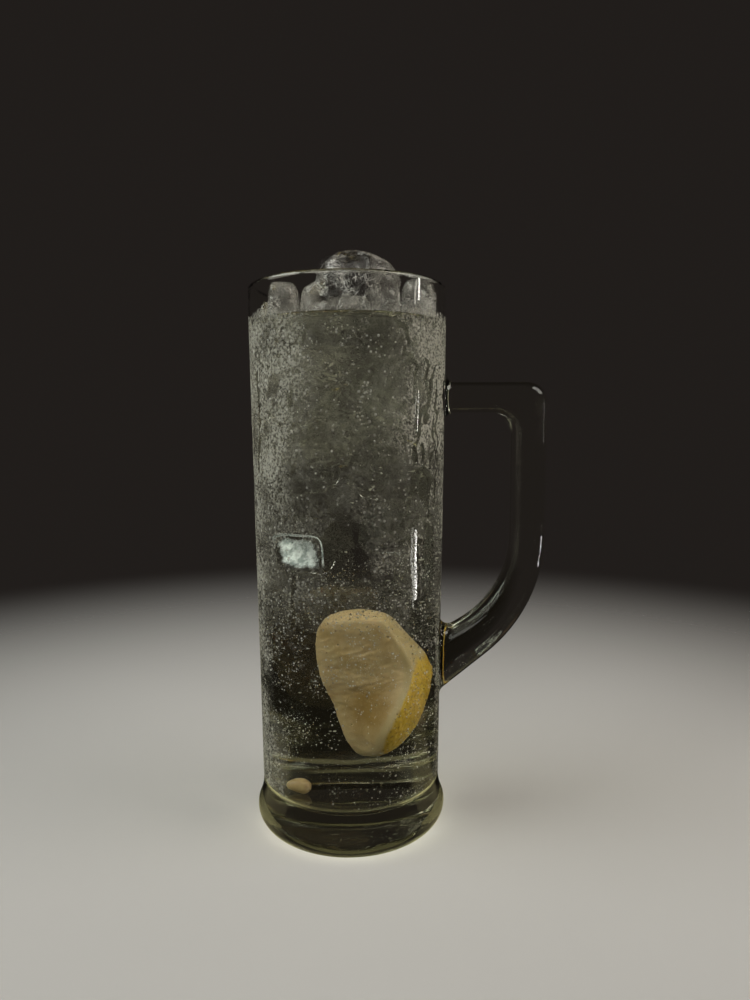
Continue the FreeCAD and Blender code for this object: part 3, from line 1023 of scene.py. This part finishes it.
def film_cover(angle, height):
    """Share of the wall that drops cover, from 0 to 1, at an angle from the front in degrees and a height.

    Nearly all from the drink's level to the middle, thinning downwards, with cleared places, and with tracks
    drawn as the distance to the nearest of their runs.
    """
    spot = on_straight_wall(angle, height)
    broad = waves(spot, 45.0, 401)
    patchy = waves(spot, 14.0, 402)
    fine = waves(spot, 5.0, 403)
    share = 0.80 + 0.10 * broad + 0.10 * patchy + 0.05 * fine
    share *= 0.10 + 0.90 * smooth_step(66, 110, height + 9 * broad + 6 * patchy + 0.16 * (np.abs(angle) - 30))
    left_strip = smooth_step(-50, -57, angle) * smooth_step(-100, -80, angle)
    right_strip = smooth_step(60, 68, angle) * smooth_step(110, 90, angle)
    share = np.maximum(share, (left_strip + right_strip) * (0.85 + 0.15 * patchy))
    share = np.maximum(share, smooth_step(1.3, 0.6, smeared(angle, height)))
    for *spot_shape, strength in CLEARED:
        edge = off_spot(angle, height, *spot_shape) + 0.12 * fine + 0.12 * patchy
        share *= 1 - strength * smooth_step(1.15, 0.85, edge)
    share *= 1 - smooth_step(1.05, 0.65, track_gap(angle, height) + 0.12 * fine)
    top_edge = FILM_TOP - 1.2 + 0.7 * waves(spot, 9.0, 405)
    share *= smooth_step(0.5, -0.3, height - top_edge)
    for root in HANDLE_ROOTS:
        share *= smooth_step(0.92, 1.08, off_spot(angle, height, *root) + 0.05 * fine)
    return np.clip(share, 0, 1)


def film_haze(angle, height):
    """How white the misted wall is, from 0 to 1: whitest high up at the left and by the handle."""
    spot = on_straight_wall(angle, height)
    broad = waves(spot, 30.0, 411)
    high = smooth_step(128, 160, height + 4 * broad)
    left = smooth_step(-12, -42, angle) * smooth_step(-150, -110, angle)
    right = smooth_step(14, 44, angle) * smooth_step(150, 110, angle)
    back = smooth_step(120, 150, np.abs(angle))
    front = smooth_step(50, 34, np.abs(angle)) * smooth_step(88, 98, height) * smooth_step(142, 128, height)
    haze = 0.055 + left * (0.08 + 0.34 * high) + right * (0.03 + 0.43 * high) + back * 0.10 * high
    haze += 0.065 * front
    edge_strip = smooth_step(56, 66, np.abs(angle)) * smooth_step(112, 94, np.abs(angle))
    haze += np.where(angle < 0, 0.24, 0.10) * edge_strip * (1 - high)
    haze *= 1 + 0.34 * broad + 0.36 * waves(spot, 11.0, 412) + 0.26 * waves(spot, 4.0, 413)
    haze += 0.16 * smooth_step(2.1, 1.1, track_gap(angle, height))
    ragged = waves(spot, 6.0, 415)
    for *cloud_shape, strength in CLOUDS:
        haze += strength * smooth_step(1.3, 0.3, off_spot(angle, height, *cloud_shape) + 0.2 * ragged)
    haze *= 0.35 + 0.65 * smooth_step(199, 188, height)
    haze += 0.18 * smooth_step(1.1, 0.3, smeared(angle, height) + 0.15 * waves(spot, 6.0, 414))
    return np.clip(haze, 0.04, 1)


def fizz_weight(angle, height):
    """Thick low at the left and round the wedge, thin low in the middle and high up."""
    spot = on_straight_wall(angle, height, INSIDE_MEAN_RADIUS)
    patches = 0.72 + 0.75 * waves(spot, 16.0, 421) + 0.5 * waves(spot, 6.0, 422)
    bare = np.exp(-((angle - 2) / 30) ** 2) * smooth_step(66, 50, height)
    high = 1 - 0.80 * smooth_step(92, 128, height)
    turned = 1 - 0.8 * smooth_step(48, 76, np.abs(angle))
    by_pip = smooth_step(0.8, 1.2, off_spot(angle, height, *BY_PIP))
    return np.clip(patches, 0.06, 1) * (1 - 0.8 * bare) * high * turned * clear_patch(angle, height) * by_pip


def dots(tree, place, scale, largest, channel, share=None):
    """Round dots of random size, one in each cell, and only in the share of cells that is given."""
    cells = node(tree, "TexVoronoi", None, {"Vector": place, "Scale": scale})
    chance = node(tree, "SeparateColor", None, {0: cells.outputs["Color"]}).outputs
    size = product(tree, chance[channel], largest)
    dot = falling(tree, maths(tree, "SUBTRACT", cells.outputs["Distance"], size), -0.14, -0.03)
    if share is None:
        return dot
    return product(tree, dot, between(tree, maths(tree, "SUBTRACT", share, chance[2]), -0.03, 0.03))


def mist_material():
    """Mist that covers where the mesh's cover is over a blotchy noise, as white as the mesh's haze.

    Beads are whiter dots and holes are dots without mist, both on the front only. The grain of two noises
    is stronger on the front too, since the drink magnifies what is at the back. Fine fizz is more white dots.
    """
    material, tree, output, place = new_material("mist")
    cover = attribute(tree, "cover")
    speck = noise(tree, place, 1100.0, 2.0, 0.6)
    blotch = noise(tree, place, 430.0, 4.0, 0.62)
    covered = between(tree, maths(tree, "ADD", cover, shift(tree, blotch, 1.9)), 0.36, 0.52)
    in_front = falling(tree, node(tree, "SeparateXYZ", None, {0: place}).outputs[1], -0.006, 0.002)
    bead = product(tree, dots(tree, place, 560.0, 0.42, 0), in_front)
    hole = product(tree, dots(tree, place, 700.0, 0.52, 1), in_front, 0.85)
    fizz = dots(tree, place, 1050.0, 0.52, 0, attribute(tree, "fizz"))
    fine_grain = product(tree, between(tree, speck, 0.34, 0.66, -1.0, 1.0),
                         between(tree, in_front, 0.0, 1.0, 0.50, 0.92))
    coarse_grain = product(tree, between(tree, blotch, 0.40, 0.60, -0.30, 0.30), in_front)
    grain = maths(tree, "ADD", maths(tree, "ADD", fine_grain, coarse_grain), 1.0)
    white = product(tree, attribute(tree, "haze"), grain, maths(tree, "SUBTRACT", 1.0, hole))
    white = product(tree, maths(tree, "ADD", white, product(tree, bead, 0.10)), covered)
    white = maths(tree, "ADD", white, product(tree, bead, cover, 0.2))
    white = maths(tree, "ADD", white, product(tree, fizz, between(tree, blotch, 0.38, 0.62, 0.15, 0.95)))
    bright = maths(tree, "MAXIMUM", bead, fizz)
    coat(tree, output, {
        "Base Color": mixed(tree, bright, (0.60, 0.58, 0.48, 1), (0.84, 0.82, 0.72, 1)),
        "Roughness": 0.5, "Specular IOR Level": 0.2, "Normal": bump(tree, speck, 0.5, 0.0005),
        "Alpha": node(tree, "Clamp", None, {"Value": white}).outputs[0],
    })
    return material


def make_mist():
    """Film just outside the wall: a grid of angle and height, closed round the glass, finer in front."""
    front = np.linspace(-FRONT_ANGLE, FRONT_ANGLE, FILM_FRONT, endpoint=False)
    back = np.linspace(FRONT_ANGLE, 360 - FRONT_ANGLE, FILM_BACK, endpoint=False)
    column = (np.concatenate([front, back]) + 180) % 360 - 180
    angle, height = np.meshgrid(column, np.linspace(FILM_BOTTOM, FILM_TOP, FILM_ROWS))
    radius = outer_radius(height) + FILM_GAP
    points = np.stack([radius * np.sin(np.radians(angle)), -radius * np.cos(np.radians(angle)), height], -1)
    row, turn = np.meshgrid(np.arange(FILM_ROWS - 1), np.arange(FILM_COLUMNS), indexing="ij")
    after = (turn + 1) % FILM_COLUMNS
    quads = np.stack([row * FILM_COLUMNS + turn, row * FILM_COLUMNS + after,
                      (row + 1) * FILM_COLUMNS + after, (row + 1) * FILM_COLUMNS + turn], -1).reshape(-1, 4)
    new_piece("outside_mist", points.reshape(-1, 3), quads, NO_TRIANGLES, mist_material(), "glass", {
        "cover": film_cover(angle, height), "haze": film_haze(angle, height),
        "fizz": 0.75 * fizz_weight(angle, height),
    })


make_mist()


def silver_material():
    """Silvery specks of unlike strength, for fizz too fine to refract."""
    material, tree, output, place = new_material("fizz")
    gleam = noise(tree, place, 800.0, 2.0)
    coat(tree, output, {
        "Base Color": mixed(tree, gleam, (0.40, 0.40, 0.34, 1), (0.80, 0.80, 0.73, 1)), "Roughness": 0.25,
        "Alpha": between(tree, noise(tree, place, 310.0, 2.0), 0.35, 0.65, 0.25, 0.85),
    })
    return material


def milk_material():
    """Milky beads of mist water."""
    material, tree, output, place = new_material("milky_beads")
    coat(tree, output, {
        "Base Color": (0.72, 0.71, 0.63, 1), "Roughness": 0.3,
        "Alpha": between(tree, noise(tree, place, 900.0, 3.0), 0.3, 0.7, 0.25, 0.6),
    })
    return material


water = clear_material("water_drops", WATER_IOR, (1, 1, 1), shadow=0.96)[0]
air = clear_material("air_bubbles", AIR_IN_WATER_IOR, (1, 1, 1), shadow=0.90)[0]
silver = silver_material()


def wall_spots(count, seed, low, high, weight):
    """Angles and heights on the wall, kept where a random number is under their weight of 0 to 1."""
    random = np.random.default_rng(seed)
    angle = random.uniform(-180, 180, count * 6)
    height = random.uniform(low, high, count * 6)
    kept = random.uniform(0, 1, count * 6) < weight(angle, height)
    return angle[kept][:count], height[kept][:count], random


def on_wall(angle, height, radius):
    """Centres on the wall at an angle from the front, and their axes."""
    turn = np.radians(angle) - np.pi / 2
    centres = np.stack([radius * np.cos(turn), radius * np.sin(turn), height], -1)
    return centres, upright_axes(turn)


def in_clusters(random, clusters):
    """Angles and heights scattered normally about each cluster's angle and height, by its two spreads."""
    angle = [middle + wide * random.normal(size=count) for middle, _, wide, _, count in clusters]
    height = [middle + tall * random.normal(size=count) for _, middle, _, tall, count in clusters]
    return np.concatenate(angle), np.concatenate(height)


def drop_weight(angle, height):
    """Few drops low down and many high up, none on the handle's roots or in the clear patch."""
    near_root = np.abs(angle - 90) < 20
    near_root &= ((height > 152) & (height < 184)) | ((height > 53) & (height < 94))
    return np.where(near_root, 0, 0.06 + 0.94 * smooth_step(70, 125, height)) * clear_patch(angle, height)


# Clusters: angle, height, spread in degrees, spread in height, count
DROP_CLUSTERS = [
    (1, 173, 3.0, 1.8, 26), (5, 188, 6.0, 4.0, 34), (46, 137, 4.5, 6.0, 30), (52, 114, 4.0, 9.0, 34),
    (-8, 106, 7.0, 2.0, 18), (-16, 176, 5.0, 7.0, 16), (14, 150, 8.0, 6.0, 24), (-48, 183, 4.0, 5.0, 14),
]
MILKY_CLUSTERS = [
    (9, 168, 2.6, 2.2, 16), (7, 160, 3.0, 2.2, 10), (-36, 186, 3.0, 2.0, 6), (16, 183, 6.0, 2.0, 8),
]
# Bubbles inside the wall: count, seed, lowest, highest, least size, spread of sizes, its power, material
WALL_BUBBLES = {
    "wall_fizz": (3400, 62, 20, 188, 0.08, 0.15, 2.2, silver),
    "wall_bubbles": (420, 63, 22, 130, 0.18, 0.26, 2, air),
}
LOWEST_DROP = 24
HIGHEST_DROP = 197
HIGHEST_MILKY = 196
WALL_CLEARANCE = 0.05
CORNER_TOP = 24


def make_drops():
    """Drops on the outside: flat against the wall and up to half as tall again as they are wide."""
    angle, height, random = wall_spots(1200, 61, LOWEST_DROP, HIGHEST_DROP, drop_weight)
    more_angle, more_height = in_clusters(random, DROP_CLUSTERS)
    angle = np.concatenate([angle, more_angle])
    height = np.minimum(np.concatenate([height, more_height]), HIGHEST_DROP)
    size = 0.11 + 0.29 * random.uniform(0, 1, len(angle)) ** 3
    size[-len(more_angle):] = random.uniform(0.24, 0.60, len(more_angle))
    centres, axes = on_wall(angle, height, outer_radius(height))
    sizes = np.stack([size * 0.55, size, size * random.uniform(1.0, 1.5, len(size))], -1)
    scattered("outside_drops", centres, sizes, axes, water, "glass")


def make_wall_bubbles(name, count, seed, low, high, least, spread, power, material):
    """Round bubbles that cling inside the wall, sized by the least one plus the spread times chance^power."""
    angle, height, random = wall_spots(count, seed, low, high, fizz_weight)
    size = least + spread * random.uniform(0, 1, len(angle)) ** power
    radius = inner_radius(np.maximum(height, CORNER_TOP)) - size - WALL_CLEARANCE
    centres, axes = on_wall(angle, height, radius)
    scattered(name, centres, size, axes, material, "drink")


def make_wedge_fizz(count=700):
    """Fizz that clings to the front of the wedge, thickest along a sloping band."""
    random = np.random.default_rng(65)
    band = (lemon_points[:, 2] - 61 + 0.4 * lemon_points[:, 0]) / 4
    chance = (0.12 + 0.88 * np.exp(-band ** 2)) * (lemon_points[:, 1] < 4)
    picked = random.choice(len(lemon_points), count, replace=False, p=chance / chance.sum())
    size = 0.05 + 0.10 * random.uniform(0, 1, count) ** 2
    centres = lemon_points[picked] + np.array([0, -0.08, 0])
    scattered("wedge_fizz", centres, size, upright_axes(np.zeros(count)), silver, "drink")


def make_milky_beads():
    """Milky beads in clusters high on the front of the mist."""
    random = np.random.default_rng(66)
    angle, height = in_clusters(random, MILKY_CLUSTERS)
    size = random.uniform(0.20, 0.50, len(angle))
    centres, axes = on_wall(angle, np.minimum(height, HIGHEST_MILKY), outer_radius(height) + 0.1)
    sizes = np.stack([size * 0.4, size, size], -1)
    scattered("milky_beads", centres, sizes, axes, milk_material(), "glass", rings=4, segments=10)


def make_rising_fizz(count=700):
    """Fizz on its way up, even over the drink's area."""
    random = np.random.default_rng(64)
    turn = random.uniform(0, 2 * np.pi, count)
    radius = 31 * np.sqrt(random.uniform(0, 1, count))
    height = random.uniform(22, 110, count)
    size = 0.06 + 0.12 * random.uniform(0, 1, count) ** 2
    centres = np.stack([radius * np.cos(turn), radius * np.sin(turn), height], -1)
    scattered("rising_fizz", centres, size, upright_axes(turn), silver, "drink")


make_drops()
for name, values in WALL_BUBBLES.items():
    make_wall_bubbles(name, *values)
make_wedge_fizz()
make_milky_beads()
make_rising_fizz()
